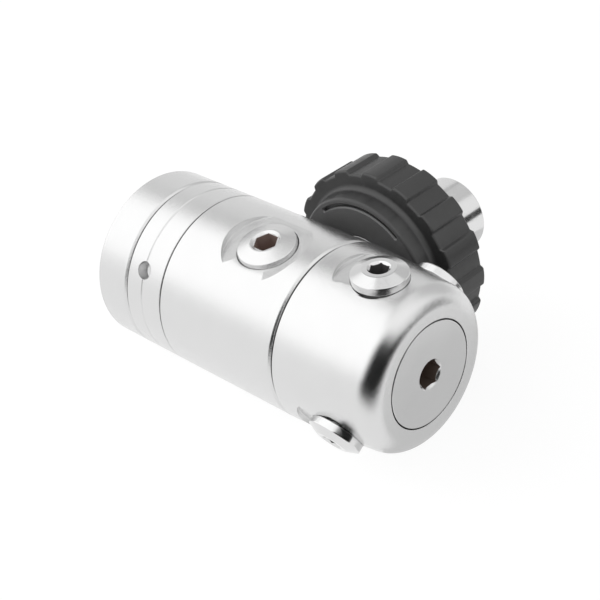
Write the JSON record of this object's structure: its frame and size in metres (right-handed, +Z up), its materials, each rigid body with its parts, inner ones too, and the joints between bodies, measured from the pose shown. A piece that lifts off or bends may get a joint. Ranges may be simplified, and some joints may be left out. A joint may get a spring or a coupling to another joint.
{
  "type": "scuba regulator first stage",
  "caption": "Round diaphragm pressure reducer lying on its side, with a swivelling turret of plugged ports and a side inlet with a rubber handwheel.",
  "frame": {"origin": "centre of the bounding box, on the table under the part as it lies on its side", "axes": "+X along the round body from cap to turret, tilted up 1.33 degrees; +Z up; +Y roughly out along the cylinder connector, which rises 4.3 degrees"},
  "size_m": [0.0852, 0.0784, 0.0488],
  "materials": {
    "satin_chrome": "satin pearl chrome plating on brass",
    "polished_chrome": "bright mirror chrome plating on brass",
    "brass": "machined, inside only",
    "spring_steel": "plain stainless wire and washers",
    "sintered_bronze": "rough sintered grains",
    "wheel_rubber": "moulded satin black",
    "seal_rubber": "smooth black seal rubber",
    "white_plastic": "plain moulded, inside only"
  },
  "bodies": {
    "first_stage": {"end_cap": "satin_chrome", "environmental_diaphragm": "seal_rubber", "diaphragm_clamp": "satin_chrome", "main_spring": "spring_steel", "thrust_washer": "white_plastic", "main_diaphragm": "seal_rubber", "valve_seat": "brass", "poppet_spring": "spring_steel", "balance_plug": "brass", "balance_plug_oring": "seal_rubber", "main_body": "satin_chrome", "gauge_plug_1": "satin_chrome", "gauge_plug_2": "satin_chrome", "gauge_plug_oring_1": "seal_rubber", "gauge_plug_oring_2": "seal_rubber", "turret_bolt": "satin_chrome", "turret_washer": "white_plastic", "turret_oring": "seal_rubber", "turret_bolt_oring": "seal_rubber", "din_spindle": "polished_chrome", "din_spindle_oring": "seal_rubber", "din_face_oring": "seal_rubber", "din_filter": "sintered_bronze", "filter_clip": "spring_steel"},
    "turret": {"turret": "satin_chrome", "lp_plug_1": "polished_chrome", "lp_plug_2": "polished_chrome", "lp_plug_3": "polished_chrome", "lp_plug_4": "polished_chrome", "lp_plug_oring_1": "seal_rubber", "lp_plug_oring_2": "seal_rubber", "lp_plug_oring_3": "seal_rubber", "lp_plug_oring_4": "seal_rubber"},
    "handwheel": {"handwheel_core": "polished_chrome", "handwheel_grip": "wheel_rubber"},
    "valve_train": {"load_transmitter": "white_plastic", "diaphragm_plate": "brass", "valve_lifter": "spring_steel", "valve_poppet": "brass"},
    "spring_seat": {"spring_seat": "spring_steel"},
    "adjusting_nut": {"adjusting_nut": "brass"}
  },
  "joints": [
    {"name": "turret_swivel", "type": "hinge", "parent": "first_stage", "child": "turret", "pos_m": [0.02911, -0.01826, 0.02262], "axis": [0.9997, 0, 0.0232], "continuous": true},
    {"name": "handwheel_spin", "type": "hinge", "parent": "first_stage", "child": "handwheel", "pos_m": [0.00426, 0.01226, 0.02433], "axis": [-0.0017, 0.9972, 0.0745], "continuous": true},
    {"name": "valve_lift", "type": "slide", "parent": "first_stage", "child": "valve_train", "axis": [0.9997, 0, 0.0232], "range_m": [-0.0006, 0], "stiffness_N_per_m": 2000, "springref_m": 0.002, "deforming": ["main_spring", "poppet_spring", "main_diaphragm", "environmental_diaphragm"]},
    {"name": "adjuster_travel", "type": "slide", "parent": "first_stage", "child": "spring_seat", "axis": [0.9997, 0, 0.0232], "range_m": [-0.0005, 0.001]},
    {"name": "adjuster_turn", "type": "hinge", "parent": "spring_seat", "child": "adjusting_nut", "pos_m": [-0.03348, -0.01826, 0.02117], "axis": [0.9997, 0, 0.0232], "range_deg": [-180, 360]}
  ],
  "couplings": [
    {"joint": "adjuster_travel", "follows": "adjuster_turn", "m_per_rad": 0.00015915}
  ]
}
